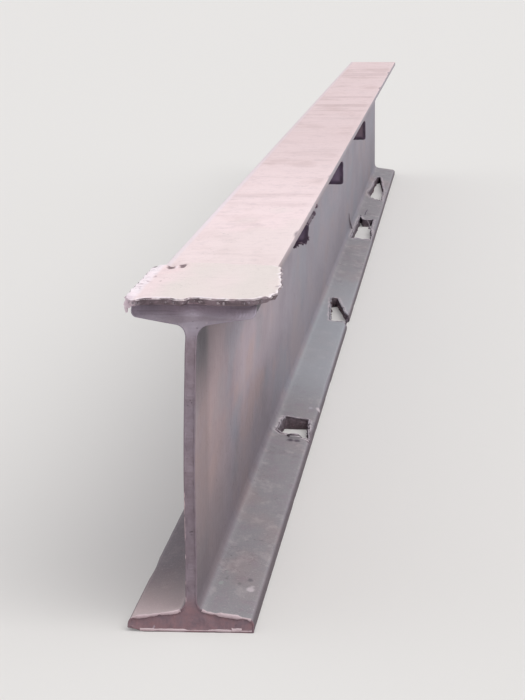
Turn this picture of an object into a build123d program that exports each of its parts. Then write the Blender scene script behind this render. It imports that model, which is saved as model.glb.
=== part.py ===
# A used steel I-beam, as it lies on its foot: a hot-rolled girder with tapered
# flanges, torch-cut at the near end, with what is left of the plates once welded to it.
#
# Millimetres. X across the flanges, Y along the beam, Z up. The origin is on the
# underside of the foot, on the web's centre line, at half the beam's length.

from build123d import *
import os

# Rolled section, 380 x 149, about 84 kg to the metre
section_height = 380.0
flange_width = 149.0
web_thickness = 13.7
flange_thickness = 20.5  # measured halfway between the flange's tip and the section's centre
flange_taper = 0.14  # slope of the flanges' inner faces
root_radius = 13.7
toe_radius = 8.2
beam_length = 6000.0

# The near end was cut by hand, plumb up the web and then leaning back, so the top flange
# stands behind the foot
end_setback = 70.0

# Bearing plate on the near end of the top flange, burnt off all round
plate_thickness = 10.0
plate_length = 335.0
plate_overhang = 30.0  # past the cut end of the top flange
plate_lap_left = 8.0
plate_lap_right = 24.0
plate_corner = 4.0

# Flat-bar cleats under the right half of the top flange
cleat_thickness = 8.0
cleat_depth = 46.0
cleat_cope = 24.0
cleat_count = 3
first_cleat = 1070.0  # from the near end of the foot
cleat_pitch = 1150.0

# Places on the right half of the foot where brackets were burnt out
burn_pitch = 1265.0
first_burn = 1140.0
burn_corner = 2.0

half_length = beam_length / 2
half_width = flange_width / 2
half_height = section_height / 2
web_face = web_thickness / 2
outstand = half_width - web_face
tip_thickness = flange_thickness - flange_taper * flange_width / 4
root_thickness = tip_thickness + flange_taper * outstand
near_end = -half_length


def underside_of_flange(x):
    """Height of the top flange's sloping lower face at x."""
    return section_height - tip_thickness - flange_taper * (half_width - x)


# The beam: one rolled length. A quarter of the section is drawn and mirrored twice.
with BuildPart() as i_beam:
    section_plane = Plane(origin=(0, near_end, half_height), x_dir=(1, 0, 0), z_dir=(0, -1, 0))
    with BuildSketch(section_plane) as rolled_section:
        with BuildLine():
            Polyline(
                (0, half_height),
                (half_width, half_height),
                (half_width, half_height - tip_thickness),
                (web_face, half_height - root_thickness),
                (web_face, 0),
            )
            mirror(about=Plane.YZ)
            mirror(about=Plane.XZ)
        make_face()
        corners = rolled_section.vertices()
        toes = corners.filter_by(
            lambda v: abs(abs(v.X) - half_width) < 0.01 and abs(v.Y) < half_height - 0.01
        )
        roots = corners.filter_by(lambda v: abs(abs(v.X) - web_face) < 0.01 and abs(v.Y) > 1)
        fillet(toes, toe_radius)
        fillet(roots, root_radius)
    extrude(amount=-beam_length)

    # Torch cut across the near end, seen from the side, through points given as a share of
    # the section's height and a share of the set-back
    cut_knots = [(0, 0), (0.13, 0.14), (0.38, 0.03), (0.62, 0.05), (0.80, 0.24), (0.90, 0.40)]
    cut_knots += [(0.955, 0.70), (1, 1)]
    with BuildSketch(Plane.YZ):
        with BuildLine():
            cut_line = Spline(
                *[(near_end + back * end_setback, up * section_height) for up, back in cut_knots]
            )
            Polyline(
                cut_line @ 1,
                (near_end + end_setback, section_height + plate_thickness),
                (near_end - end_setback, section_height + plate_thickness),
                (near_end - end_setback, -plate_thickness),
                (near_end, -plate_thickness),
                cut_line @ 0,
            )
        make_face()
    extrude(amount=flange_width, both=True, mode=Mode.SUBTRACT)

    # Burnt-out places, as outlines on the foot: share of the outstand from the web
    # to the edge, and millimetres along the beam from the near side of the burn
    burn_outlines = [
        [(0.17, 22), (0.30, 0), (0.55, 6), (0.97, -18), (0.88, 60), (0.82, 150), (0.22, 156)],
        [(0.48, 0), (1.20, 6), (1.20, 84), (0.86, 132), (0.46, 345), (0.26, 330)],
        [(0.14, 215), (0.94, 228), (0.80, 480), (0.78, 735), (0.60, 690), (0.32, 690), (0.20, 790)],
        [(0.12, 175), (0.34, 40), (0.84, -20), (0.80, 300), (0.44, 740), (0.26, 700), (0.24, 360)],
    ]
    for number, outline in enumerate(burn_outlines):
        near_side = near_end + first_burn + number * burn_pitch
        with BuildSketch(Plane.XY) as burn:
            burn_points = [(web_face + share * outstand, near_side + along) for share, along in outline]
            Polygon(*burn_points)
            fillet(burn.vertices(), burn_corner)
        extrude(amount=root_thickness + root_radius, mode=Mode.SUBTRACT)

i_beam.part.label = "i_beam"

# The bearing plate's rest: it lies on the top flange, wider than the flange, and its
# edges were burnt by hand. Each pair is a share of the side and how far it is burnt in.
plate_near = near_end + end_setback - plate_overhang
plate_far = plate_near + plate_length
plate_left = -half_width - plate_lap_left
plate_right = half_width + plate_lap_right

front_burns = [(0.09, -16), (0.12, 2), (0.30, 8), (0.40, -14), (0.44, 14), (0.60, -4), (0.86, 0)]
right_burns = [(0.06, 15), (0.12, 5), (0.19, 2), (0.36, 0), (0.68, 9), (0.90, 14)]
back_burns = [(0.86, 18), (0.60, 6), (0.40, 0), (0.24, -4), (0.14, 10), (0.05, 12)]
left_burns = [(0.88, 0), (0.66, 1), (0.45, 2), (0.14, 0), (0.04, 3)]

with BuildPart() as end_plate:
    with BuildSketch(Plane.XY.offset(section_height)) as torn_outline:
        plate_width = plate_right - plate_left
        front = [(plate_left + share * plate_width, plate_near + burn) for share, burn in front_burns]
        right = [(plate_right - burn, plate_near + share * plate_length) for share, burn in right_burns]
        back = [(plate_left + share * plate_width, plate_far - burn) for share, burn in back_burns]
        left = [(plate_left + burn, plate_near + share * plate_length) for share, burn in left_burns]
        Polygon(*front, *right, *back, *left)
        fillet(torn_outline.vertices(), plate_corner)
    extrude(amount=plate_thickness)

end_plate.part.label = "end_plate"

# Cleats: flat bars set across the beam, welded to the web and to the flange above,
# with the inner corner coped clear of the root. Their lower edges run from the web to the
# flange's edge, as shares of the outstand and millimetres up. The nearest cleat is torn.
straight_edge = [(0, 0), (1, 0)]
torn_edge = [(0, 0), (0.55, 6), (0.72, 9), (0.84, 13), (1, 21)]
os.makedirs("parts", exist_ok=True)

for number in range(cleat_count):
    cleat_place = near_end + first_cleat + number * cleat_pitch
    cleat_foot = underside_of_flange(half_width) - cleat_depth
    cope_x = web_face + cleat_cope
    with BuildPart() as cleat:
        cleat_plane = Plane(origin=(0, cleat_place, 0), x_dir=(1, 0, 0), z_dir=(0, -1, 0))
        with BuildSketch(cleat_plane):
            lower_edge = torn_edge if number == 0 else straight_edge
            Polygon(
                *[(web_face + share * outstand, cleat_foot + up) for share, up in lower_edge],
                (half_width, underside_of_flange(half_width)),
                (cope_x, underside_of_flange(cope_x)),
                (web_face, underside_of_flange(web_face) - cleat_cope),
            )
        extrude(amount=-cleat_thickness)
    cleat.part.label = f"cleat_{number + 1}"
    export_step(cleat.part, f"parts/cleat_{number + 1}.step")

export_step(i_beam.part, "parts/i_beam.step")
export_step(end_plate.part, "parts/end_plate.step")
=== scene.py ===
# A used steel I-beam lying on its foot on a pale studio floor, seen over its torch-cut
# near end. Lengths are written in millimetres and turned into metres as a mesh is made.

import math

import bmesh
import bpy
import numpy as np
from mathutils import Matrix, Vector, geometry, kdtree, noise


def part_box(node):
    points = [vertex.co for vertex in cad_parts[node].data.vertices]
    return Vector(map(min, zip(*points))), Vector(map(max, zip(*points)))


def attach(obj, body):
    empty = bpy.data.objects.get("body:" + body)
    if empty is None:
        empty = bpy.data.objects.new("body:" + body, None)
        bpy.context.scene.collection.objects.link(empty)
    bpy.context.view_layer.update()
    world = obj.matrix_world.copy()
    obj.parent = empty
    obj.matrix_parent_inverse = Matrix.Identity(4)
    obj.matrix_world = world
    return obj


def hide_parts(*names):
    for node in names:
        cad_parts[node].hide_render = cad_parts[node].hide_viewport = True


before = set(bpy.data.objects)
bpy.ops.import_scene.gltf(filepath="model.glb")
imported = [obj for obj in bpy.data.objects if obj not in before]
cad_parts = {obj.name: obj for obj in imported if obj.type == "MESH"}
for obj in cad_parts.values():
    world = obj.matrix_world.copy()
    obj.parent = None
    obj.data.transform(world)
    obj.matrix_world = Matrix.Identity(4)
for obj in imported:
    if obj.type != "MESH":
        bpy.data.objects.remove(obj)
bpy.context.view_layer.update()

# Studio: a plain pale floor, a soft high light and an even pale surround, with the
# camera held low over the near end, just right of the web, with a long lens.


class Signal:
    """The output of a node. Sums on it are written as plain Python and become Math nodes."""

    def __init__(self, sheet, socket):
        self.sheet = sheet
        self.socket = socket

    def calc(self, operation, *values, clamp=False):
        settings = {"operation": operation, "use_clamp": clamp}
        return self.sheet.node("ShaderNodeMath", settings, dict(enumerate(values)))

    def __add__(self, other):
        return self.calc("ADD", self, other)

    def __sub__(self, other):
        return self.calc("SUBTRACT", self, other)

    def __rsub__(self, other):
        return self.calc("SUBTRACT", other, self)

    def __mul__(self, other):
        return self.calc("MULTIPLY", self, other)

    def __truediv__(self, other):
        return self.calc("DIVIDE", self, other)

    def __rtruediv__(self, other):
        return self.calc("DIVIDE", other, self)

    def __pow__(self, other):
        return self.calc("POWER", self, other)

    __radd__ = __add__
    __rmul__ = __mul__

    def size(self):
        return self.calc("ABSOLUTE", self)

    def sine(self):
        return self.calc("SINE", self)

    def at_least(self, low):
        return self.calc("MAXIMUM", self, low)

    def limit(self):
        return self.calc("ADD", self, 0.0, clamp=True)

    def between(self, low, high):
        """0 at low and 1 at high, with a soft passage; low may be the larger."""
        return self.sheet.node(
            "ShaderNodeMapRange",
            {"interpolation_type": "SMOOTHSTEP"},
            {"Value": self, "From Min": low, "From Max": high},
        )

    def output(self, name):
        """Another output of the same node."""
        return Signal(self.sheet, self.socket.node.outputs[name])


class NodeSheet:
    """One node tree, of a material, of the world or of a way to grow a mesh."""

    def __init__(self, tree):
        self.tree = tree
        tree.nodes.clear()

    def node(self, kind, settings=None, inputs=None, output=0):
        made = self.tree.nodes.new(kind)
        for name, value in (settings or {}).items():
            setattr(made, name, value)
        for key, value in (inputs or {}).items():
            if isinstance(value, Signal):
                self.tree.links.new(value.socket, made.inputs[key])
            else:
                made.inputs[key].default_value = value
        return Signal(self, made.outputs[output]) if made.outputs else None

    def mix(self, share, first, second):
        """A colour between two colours."""
        first, second = [c if isinstance(c, Signal) else (*c, 1.0) for c in (first, second)]
        return self.node("ShaderNodeMix", {"data_type": "RGBA"}, {0: share, 6: first, 7: second}, 2)

    def vector(self, operation, first, second=None, output=0):
        """Vector maths. A length is the output named Value."""
        values = {0: first}
        if second is not None:
            values["Scale" if operation == "SCALE" else 1] = second
        return self.node("ShaderNodeVectorMath", {"operation": operation}, values, output)


def tint(red, green, blue):
    """A colour written as it looks, 0 to 255, in the linear values that nodes take."""
    return tuple(
        (value / 255 / 12.92) if value < 10.4 else ((value / 255 + 0.055) / 1.055) ** 2.4
        for value in (red, green, blue)
    )


def new_material(name):
    material = bpy.data.materials.new(name)
    material.use_nodes = True
    return material, NodeSheet(material.node_tree)


floor_tint = tint(226, 224, 222)
glow_tint = (0.93, 0.92, 0.915)
glow_share = 0.18  # of what the camera sees of the floor
floor_reach = 60.0

floor_material, sheet = new_material("studio_floor")
to_camera = sheet.node("ShaderNodeLightPath", output="Is Camera Ray")
matt = sheet.node(
    "ShaderNodeBsdfPrincipled",
    inputs={"Base Color": (*floor_tint, 1.0), "Roughness": 0.9, "Specular IOR Level": 0.2},
)
glow = sheet.node("ShaderNodeEmission", inputs={"Color": (*glow_tint, 1.0), "Strength": 1.0})
surface = sheet.node("ShaderNodeMixShader", inputs={0: to_camera * glow_share, 1: matt, 2: glow})
sheet.node("ShaderNodeOutputMaterial", inputs={"Surface": surface})

floor_mesh = bpy.data.meshes.new("studio_floor")
floor_mesh.from_pydata(
    [(x * floor_reach, y * floor_reach, 0.0) for x, y in ((-1, -1), (1, -1), (1, 1), (-1, 1))],
    [],
    [(0, 1, 2, 3)],
)
floor_mesh.materials.append(floor_material)
floor = bpy.data.objects.new("studio_floor", floor_mesh)
bpy.context.collection.objects.link(floor)

surround_tint = (0.94, 0.945, 0.96)
surround_light = 0.62
surround_seen = 0.36  # added where the camera or a reflection sees it

world = bpy.data.worlds.new("studio_surround")
bpy.context.scene.world = world
world.use_nodes = True
sheet = NodeSheet(world.node_tree)
path = sheet.node("ShaderNodeLightPath", output="Is Camera Ray")
seen = (path + path.output("Is Glossy Ray") + path.output("Is Transmission Ray")).limit()
surface = sheet.node(
    "ShaderNodeBackground",
    inputs={"Color": (*surround_tint, 1.0), "Strength": surround_light + seen * surround_seen},
)
sheet.node("ShaderNodeOutputWorld", inputs={"Surface": surface})

sun_direction = Vector((0.8, -0.8, 1.6))
sun_strength = 1.62
sun_spread = 60.0  # degrees
sun_light = bpy.data.lights.new("high_soft_light", "SUN")
sun_light.energy = sun_strength
sun_light.angle = math.radians(sun_spread)
sun_light.color = (1.0, 0.985, 0.965)
sun = bpy.data.objects.new("high_soft_light", sun_light)
sun.rotation_euler = sun_direction.to_track_quat("Z", "Y").to_euler()
bpy.context.collection.objects.link(sun)

camera_place = (0.317, -5.993, 0.806)
camera_turn = (81.093, 0.192, 4.389)  # degrees
camera_lens = 136.29

camera_data = bpy.data.cameras.new("camera")
camera_data.lens = camera_lens
camera_data.sensor_width = 36.0
camera_data.clip_start = 0.05
camera_data.clip_end = 200.0
camera = bpy.data.objects.new("camera", camera_data)
camera.location = camera_place
camera.rotation_euler = [math.radians(turn) for turn in camera_turn]
bpy.context.collection.objects.link(camera)
bpy.context.scene.camera = camera
bpy.context.scene.view_settings.view_transform = "Standard"

# Rolled beam: one hot-rolled length of tapered-flange section, 380 x 149 mm. Its near
# end was cut off by hand with a torch, and brackets were burnt out of the right half
# of its foot. It has stood outside for years and is rusty all over.

mm = 0.001
section_height = 380.0
flange_width = 149.0
web_thickness = 13.7
flange_thickness = 20.5
flange_taper = 0.14
root_radius = 13.7
toe_radius = 8.2
beam_length = 6000.0
near_end = -beam_length / 2

half_width = flange_width / 2
web_face = web_thickness / 2
outstand = half_width - web_face
tip_thickness = flange_thickness - flange_taper * flange_width / 4
slope = math.atan(flange_taper)


def flange_line(x):
    """Thickness of a flange at x from the web's centre, without its fillets."""
    return tip_thickness + flange_taper * (half_width - x)


# Corner points of half a flange, from the web outwards and round its edge
root_x = web_face + root_radius
root_z = flange_line(root_x) + root_radius / math.cos(slope)
toe_x = half_width - toe_radius
toe_z = flange_line(toe_x) - toe_radius / math.cos(slope)


def arc(x, z, radius, start, end, steps):
    turns = [math.radians(start + (end - start) * step / steps) for step in range(steps + 1)]
    return [(x + radius * math.cos(turn), z + radius * math.sin(turn)) for turn in turns]


def spread(start, end, steps):
    """Even points between two points, both left out."""
    shares = [step / steps for step in range(1, steps)]
    return [tuple(a + (b - a) * share for a, b in zip(start, end)) for share in shares]


slope_turn = math.degrees(slope)
root_arc = arc(root_x, root_z, root_radius, 180, 270 - slope_turn, 7)
toe_arc = arc(toe_x, toe_z, toe_radius, 90 - slope_turn, 0, 6)
upper_face = root_arc + spread(root_arc[-1], toe_arc[0], 6) + toe_arc
edge_corner = 1.5
edge_face = spread(toe_arc[-1], (half_width, edge_corner), 3)


def foot_underside(x):
    """The flange's flat face, with its small rolled corner."""
    past = max(0.0, x - (half_width - edge_corner))
    return edge_corner - math.sqrt(max(0.0, edge_corner**2 - past**2))


corner = [(x, foot_underside(x)) for x, z in reversed(toe_arc[-3:])]
wing = upper_face + edge_face + corner

# The outline of the section without the right half of its foot, which is burnt through
seam = 2
web_rows = 18
web_top = section_height - root_arc[0][1]
flat_end = corner[-1][0]
outline = [upper_face[2], upper_face[1], upper_face[0]]
outline += spread(root_arc[0], (web_face, web_top), web_rows)
outline += [(x, section_height - z) for x, z in wing]
outline += spread((flat_end, section_height), (-flat_end, section_height), 16)
outline += [(-x, section_height - z) for x, z in reversed(wing)]
outline += spread((-web_face, web_top), (-web_face, root_arc[0][1]), web_rows)
outline += [(-x, z) for x, z in wing]
seam_x = upper_face[seam][0]
outline += spread((-flat_end, 0.0), (seam_x, 0.0), 9) + [(seam_x, 0.0)]


def rusty_steel(name, plain, dark, fresh, cool, dust, foot_dust, rim, cover, marks=()):
    """Weathered steel: soft patches of warmer and cooler rust, run-off on upright faces, pits,
    and pale dust, of a share called cover, on what faces up, which also stands as painted top
    light and sheen there. It paints shade, partly dirt, low on the web, and painted shade under
    the top flange, near the cut and on the foot's edge, and paints fill light on the top
    flange's cut end. Colours go from 0 to 255. Vertex values: burnt is 1 at a torch-cut edge,
    worn is where the dust is rubbed to cream, and cut goes from 0.5 at the rim of a torch-cut
    face to 1 inside it. A mark is a place, across, from the near end and up, its radius and
    its colour."""
    plain, dark, fresh, cool, dust, foot_dust, rim = [
        tint(*colour) for colour in (plain, dark, fresh, cool, dust, foot_dust, rim)
    ]
    material, sheet = new_material(name)
    place = sheet.node("ShaderNodeTexCoord", output="Object")
    across = sheet.node("ShaderNodeSeparateXYZ", inputs={0: place}, output="X")
    along, height = across.output("Y"), across.output("Z")
    facing = sheet.node("ShaderNodeNewGeometry", output="Normal")
    facing = sheet.node("ShaderNodeSeparateXYZ", inputs={0: facing}, output="X")
    upright = facing.size().between(0.45, 0.9)
    up = facing.output("Z").between(0.5, 0.93)
    cut, burnt, worn = [
        sheet.node("ShaderNodeAttribute", {"attribute_name": value}, output="Fac")
        for value in ("cut", "burnt", "worn")
    ]

    def lumps(scale, stretch=(1, 1, 1), detail=4.0, roughness=0.55, moved=0.0):
        """Noise with so many lumps to the metre, times a stretch each way."""
        spot = sheet.node(
            "ShaderNodeMapping",
            inputs={
                "Vector": place,
                "Location": (moved, -moved, moved * 0.6),
                "Scale": tuple(scale * way for way in stretch),
            },
        )
        return sheet.node(
            "ShaderNodeTexNoise",
            inputs={"Vector": spot, "Scale": 1.0, "Detail": detail, "Roughness": roughness},
        )

    patch = lumps(6.0, (1, 0.4, 1.4), 4.0, 0.55)
    tone = lumps(9.0, (1, 0.36, 1.2), 4.0, 0.55, 8.3)
    chill = lumps(7.0, (1, 0.37, 1.2), 3.0, 0.5, 4.9)
    blotch = lumps(21, (1, 0.43, 1.15), 5.0, 0.62, 3.1)
    mottle = lumps(70, detail=5.0, roughness=0.65, moved=1.7)
    crust = lumps(36, (1, 0.4, 1), 5.0, 0.66, 6.6)
    grit = lumps(420, detail=3.0, roughness=0.7)
    run = lumps(1.0, (14, 15, 1.3), 5.0, 0.58)
    fine_run = lumps(1.0, (60, 64, 4.5), 4.0, 0.6, 2.3)
    band = lumps(1.0, (2.5, 7.5, 1.2), 5.0, 0.62, 5.5)
    fine_band = lumps(1.0, (9, 60, 6), 4.0, 0.6, 7.5)
    pits = lumps(210, detail=2.0, moved=4.4).between(0.66, 0.74) * blotch.between(0.48, 0.60)

    def darker(colour, factor):
        return [factor * value for value in colour]

    def blend(first, second, share):
        return [a + (b - a) * share for a, b in zip(first, second)]

    def coated(colour, *coats):
        """Lays coats over a colour. Each is its share and its colour."""
        for share, coat in coats:
            colour = sheet.mix(share, colour, coat)
        return colour

    # Rust on the upright and lower faces, in zones read off the real beam, with painted light on the
    # web near the cut end
    pale_runs = upright * (run.between(0.52, 0.72) * 0.10 + fine_run.between(0.5, 0.7) * 0.05)
    dark_runs = upright * (run.between(0.46, 0.30) * 0.13 + fine_run.between(0.46, 0.3) * 0.05)
    edge_band = upright * across.size().between(0.0725, 0.0738) * height.between(0.3, 0.34)
    upper_web = height.between(0.12, 0.20) * height.between(0.31, 0.24)
    sunny = upright * upper_web * along.between(-2.6, -2.3) * along.between(-1.3, -1.9)
    rust = coated(
        plain,
        (patch.between(0.42, 0.66) * 0.55, dark),
        (tone.between(0.46, 0.64) * 0.7, fresh),
        (chill.between(0.50, 0.64) * 0.6, cool),
        (blotch.between(0.52, 0.70) * 0.3, dark),
        (mottle.between(0.50, 0.72) * 0.2, dark),
        (pale_runs, blend(plain, dust, 0.5)),
        (dark_runs, darker(dark, 0.85)),
        (edge_band * (0.24 + height.between(0.372, 0.378) * 0.2), dust),
        # painted light: the web lighter near the open cut end, where more light falls in, with a
        # warmer rust tone
        (upright * along.between(-2.45, -2.75) * 0.5, blend(fresh, dust, 0.12)),
        (sunny * 0.25, blend(plain, dust, 0.5)),
        (upright * along.between(-2.3, -1.0) * 0.55, blend(cool, dust, 0.12)),
    )

    # Dust that has settled, with painted top light and sheen that make up-facing faces pale: pale and
    # pink on the top flange, grey on the foot
    grey, cream, bright = tint(166, 171, 178), tint(233, 225, 220), tint(254, 241, 249)
    low = height.between(0.20, 0.10)
    high = 1 - low
    left_foot = low * across.between(-0.004, -0.012)
    mid_foot = low * along.between(-1.65, -1.2) * along.between(0.4, -0.4)
    plate_strip = height.between(0.3835, 0.386) * across.between(-0.064, -0.074)
    dust_and_top_light = coated(
        dust,
        (low, foot_dust),
        (band.between(0.48, 0.68) * high * 0.3, fresh),
        (fine_band.between(0.5, 0.72) * 0.08, plain),
        (mottle.between(0.52, 0.74) * 0.2, plain),
        (blotch.between(0.54, 0.70) * low * 0.35, dark),
        (tone.between(0.50, 0.66) * 0.22, fresh),
        (crust.between(0.52, 0.66) * low * 0.3, blend(foot_dust, dust, 0.4)),
        (crust.between(0.47, 0.34) * (0.1 + low * 0.3), blend(plain, dark, 0.5)),
        (left_foot * along.between(-2.72, -2.97) * 0.62, blend(dust, fresh, 0.52)),
        # painted shade: the foot's left side darker away from the cut end, in the web's shade
        (left_foot * along.between(-2.97, -2.72) * 0.5, dark),
        (mid_foot * 0.72, grey),
        (high * across.size().between(0.060, 0.071) * 0.6, blend(dust, cool, 0.06)),
        (high * across.between(-0.064, -0.071) * 0.8, bright),
        (high * along.between(-2.1, -0.3) * 0.29, fresh),
        (worn * 0.8, cream),
        (plate_strip * blotch.between(0.38, 0.58) * 0.8, rim),
        # painted shade: small darker spots on the plate's left strip, as shading of its lumps
        (plate_strip * mottle.between(0.47, 0.37) * 0.55, plain),
        (grit.between(0.54, 0.72) * 0.22, plain),
        (grit.between(0.44, 0.28) * low * 0.3, dust),
    )
    under_plate = height.between(0.36, 0.37) * height.between(0.3815, 0.3805)
    bare_seat = under_plate * along.between(-2.60, -2.64)

    # Painted shade in the rust colour: darker along the web's foot, partly dirt, and painted shade
    # under the top flange and near the cut
    low_shade_and_dirt = height.between(0.23, 0.05) * (0.34 + along.between(-1.4, -2.0) * 0.38)
    painted_flange_shade = 0.12 + along.between(-2.2, -2.6) * 0.24 + along.between(-2.7, -2.9) * 0.3
    painted_near_end_shade = along.between(-2.80, -2.87) * (height.between(0.09, 0.2) * 0.24 + 0.1)
    painted_shade_and_dirt = low_shade_and_dirt + height.between(0.24, 0.33) * painted_flange_shade + painted_near_end_shade
    # painted shade: the foot's right edge face darker, as it stands in shadow near the floor
    toe = across.between(0.0715, 0.0738) * height.between(0.024, 0.012)

    # The torch-cut end: reddish on the foot, like the web above it; the top flange's end, in shade
    # under the plate's lip, is painted pale as painted fill light
    grain = mottle.between(0.36, 0.66)
    foot_end = sheet.mix(grain, tint(148, 108, 112), tint(112, 88, 96))
    web_end = sheet.mix(grain, blend(plain, dark, 0.2), blend(plain, dark, 0.8))
    # painted fill light: the flange's end under the plate's lip made paler, most of all near its top
    flange_end_painted_light = sheet.mix(height.between(0.358, 0.372), tint(164, 158, 174), tint(218, 210, 228))
    streak = lumps(1.0, (10, 10, 260), 3.0, 0.6, 9.1).between(0.5, 0.62) * height.between(0.35, 0.36)
    end_tone = coated(
        foot_end,
        (height.between(0.022, 0.05), web_end),
        (height.between(0.335, 0.355) * 0.92, flange_end_painted_light),
        (streak * 0.35, dark),
        (cut.between(1.0, 0.55) * 0.35, darker(dark, 0.6)),
    )
    slag = sheet.mix(mottle.between(0.4, 0.6), darker(dark, 0.45), darker(dark, 0.95))
    molten = burnt.between(0.25, 0.85)
    colour = coated(
        rust,
        # painted top light and sheen, with dust: up-facing faces take the pale settled colour
        (up * cover * (1 - bare_seat), dust_and_top_light),
        # painted shade on upright faces, partly dirt low on the web
        (upright * painted_shade_and_dirt, darker(blend(dark, cool, 0.3), 0.5)),
        (toe * 0.85, darker(dark, 0.5)),
        (cut.between(0.1, 0.45) * 0.92, end_tone),
        # burnt faces that don't look up go dark as slag; under the plate's lip this is partly painted
        # shade
        (molten * (1 - up) * 0.9, slag),
        (molten * up * mottle.between(0.66, 0.42) * 0.9, rim),
        (pits * 0.5, darker(dark, 0.3)),
    )
    for x, from_end, z, radius, mark in marks:
        spot = (x * mm, (near_end + from_end) * mm, z * mm)
        away = sheet.vector("MULTIPLY", sheet.vector("SUBTRACT", place, spot), (1, 0.35, 1))
        away = sheet.vector("LENGTH", away, output="Value") / (radius * mm) + (mottle - 0.5) * 2.5
        colour = sheet.mix(away.between(1.3, 0.5) * 0.82, colour, tint(*mark))

    relief = blotch * 0.35 + mottle * 0.4 + grit * 0.22 + fine_run * upright * 0.1 - pits * 0.5
    roughness = 0.68 + (mottle - 0.5) * 0.3 + up * 0.08 + pits * 0.15 - dark_runs * 0.15
    bump = {"Strength": 0.8, "Distance": 0.0016, "Height": relief}
    shader = sheet.node(
        "ShaderNodeBsdfPrincipled",
        inputs={
            "Base Color": colour,
            "Roughness": roughness.limit(),
            "Normal": sheet.node("ShaderNodeBump", inputs=bump),
            "Specular IOR Level": 0.35,
        },
    )
    sheet.node("ShaderNodeOutputMaterial", inputs={"Surface": shader})
    return material


beam_rust = rusty_steel(
    "rusty_rolled_steel",
    plain=(160, 146, 158), dark=(122, 107, 116), fresh=(170, 142, 140), cool=(136, 140, 154),
    dust=(254, 233, 235), foot_dust=(145, 143, 147), rim=(200, 190, 196), cover=0.92,
    marks=[
        (27, 183, 24, 3.0, (112, 108, 112)),
        (44, 163, 21, 3.5, (116, 112, 116)),
        (55, 190, 19, 3.0, (112, 106, 114)),
        (59, 145, 18, 5.0, (206, 196, 202)),
        (36, 240, 24, 4.0, (116, 110, 114)),
        (22, 158, 24, 3.5, (158, 162, 162)),
        (24, 215, 24, 3.0, (158, 162, 162)),
        (44, 1103, 21, 5.5, (66, 56, 70)),
        (54, 1105, 20, 5.5, (74, 64, 78)),
        (71, 1400, 14, 5.5, (206, 196, 202)),
        (59, 1400, 16, 4.0, (174, 168, 178)),
    ],
)

# Where the section is placed along the beam, from the near end: closer over the cut and burns
burn_zones = [(1090, 1330), (2370, 2770), (3860, 4500), (4900, 5710)]
end_rows = [0.0, 0.35, 1.0, 2.0]
stations = end_rows[:]
while stations[-1] < beam_length - end_rows[-1]:
    here = stations[-1]
    in_burn = any(start < here < end for start, end in burn_zones)
    step = 3.0 if here < 60 else 8.0 if here < 160 else 14.0 if in_burn else 20.0
    stations.append(min(here + step, beam_length - end_rows[-1]))
stations += [beam_length - row for row in reversed(end_rows[:-1])]


geometry_kind, object_kind = "NodeSocketGeometry", "NodeSocketObject"
number_kind, material_kind = "NodeSocketFloat", "NodeSocketMaterial"


def growing_tree(name, inputs):
    """A Geometry Nodes tree with named inputs: returns its sheet and a Signal for each input."""
    tree = bpy.data.node_groups.new(name, "GeometryNodeTree")
    sheet = NodeSheet(tree)
    tree.interface.new_socket(name="Geometry", in_out="OUTPUT", socket_type=geometry_kind)
    for label, kind in inputs.items():
        tree.interface.new_socket(name=label, in_out="INPUT", socket_type=kind)
    door = sheet.node("NodeGroupInput")
    return sheet, {label: door.output(label) for label in inputs}


def end_growing(sheet, shape, material):
    """Closes a growing tree: what it made is smooth, real and in one material."""
    shape = sheet.node("GeometryNodeSetShadeSmooth", inputs={"Geometry": shape})
    shape = sheet.node("GeometryNodeRealizeInstances", inputs={"Geometry": shape})
    shape = sheet.node("GeometryNodeSetMaterial", inputs={"Geometry": shape, "Material": material})
    sheet.node("NodeGroupOutput", inputs={0: shape})


def grown(name, sheet, base, values):
    """Runs a growing tree on a base mesh and gives the result back as a plain mesh."""
    carrier = bpy.data.objects.new(name, base)
    bpy.context.collection.objects.link(carrier)
    modifier = carrier.modifiers.new(name, "NODES")
    modifier.node_group = sheet.tree
    for item in sheet.tree.interface.items_tree:
        if item.in_out == "INPUT" and item.name in values:
            modifier[item.identifier] = values[item.name]
    depsgraph = bpy.context.evaluated_depsgraph_get()
    mesh = bpy.data.meshes.new_from_object(
        carrier.evaluated_get(depsgraph), preserve_all_data_layers=True, depsgraph=depsgraph
    )
    bpy.data.objects.remove(carrier)
    return mesh


rolling, asked = growing_tree(
    "rolled_length", {"Geometry": geometry_kind, "Section": object_kind, "Material": material_kind}
)
line = rolling.node("GeometryNodeMeshToCurve", inputs={0: asked["Geometry"]})
line = rolling.node("GeometryNodeSetCurveNormal", {"mode": "Z_UP"}, {"Curve": line})
profile = rolling.node("GeometryNodeObjectInfo", inputs={0: asked["Section"]}, output="Geometry")
swept = rolling.node("GeometryNodeCurveToMesh", inputs={"Curve": line, "Profile Curve": profile})
end_growing(rolling, swept, asked["Material"])

section_curve = bpy.data.curves.new("section_outline", "CURVE")
section_curve.dimensions = "3D"
section_line = section_curve.splines.new("POLY")
section_line.points.add(len(outline) - 1)
for point, (x, z) in zip(section_line.points, outline):
    point.co = (x, -z, 0.0, 1.0)
section_object = bpy.data.objects.new("section_outline", section_curve)
bpy.context.collection.objects.link(section_object)

line_mesh = bpy.data.meshes.new("beam_line")
line_mesh.from_pydata(
    [(0.0, near_end + station, 0.0) for station in stations],
    [(i, i + 1) for i in range(len(stations) - 1)],
    [],
)
swept_mesh = grown(
    "rolled_length", rolling, line_mesh, {"Section": section_object, "Material": beam_rust}
)
bpy.data.objects.remove(section_object)
beam_points = [tuple(v.co) for v in swept_mesh.vertices]
beam_faces = [tuple(p.vertices) for p in swept_mesh.polygons]


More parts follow.
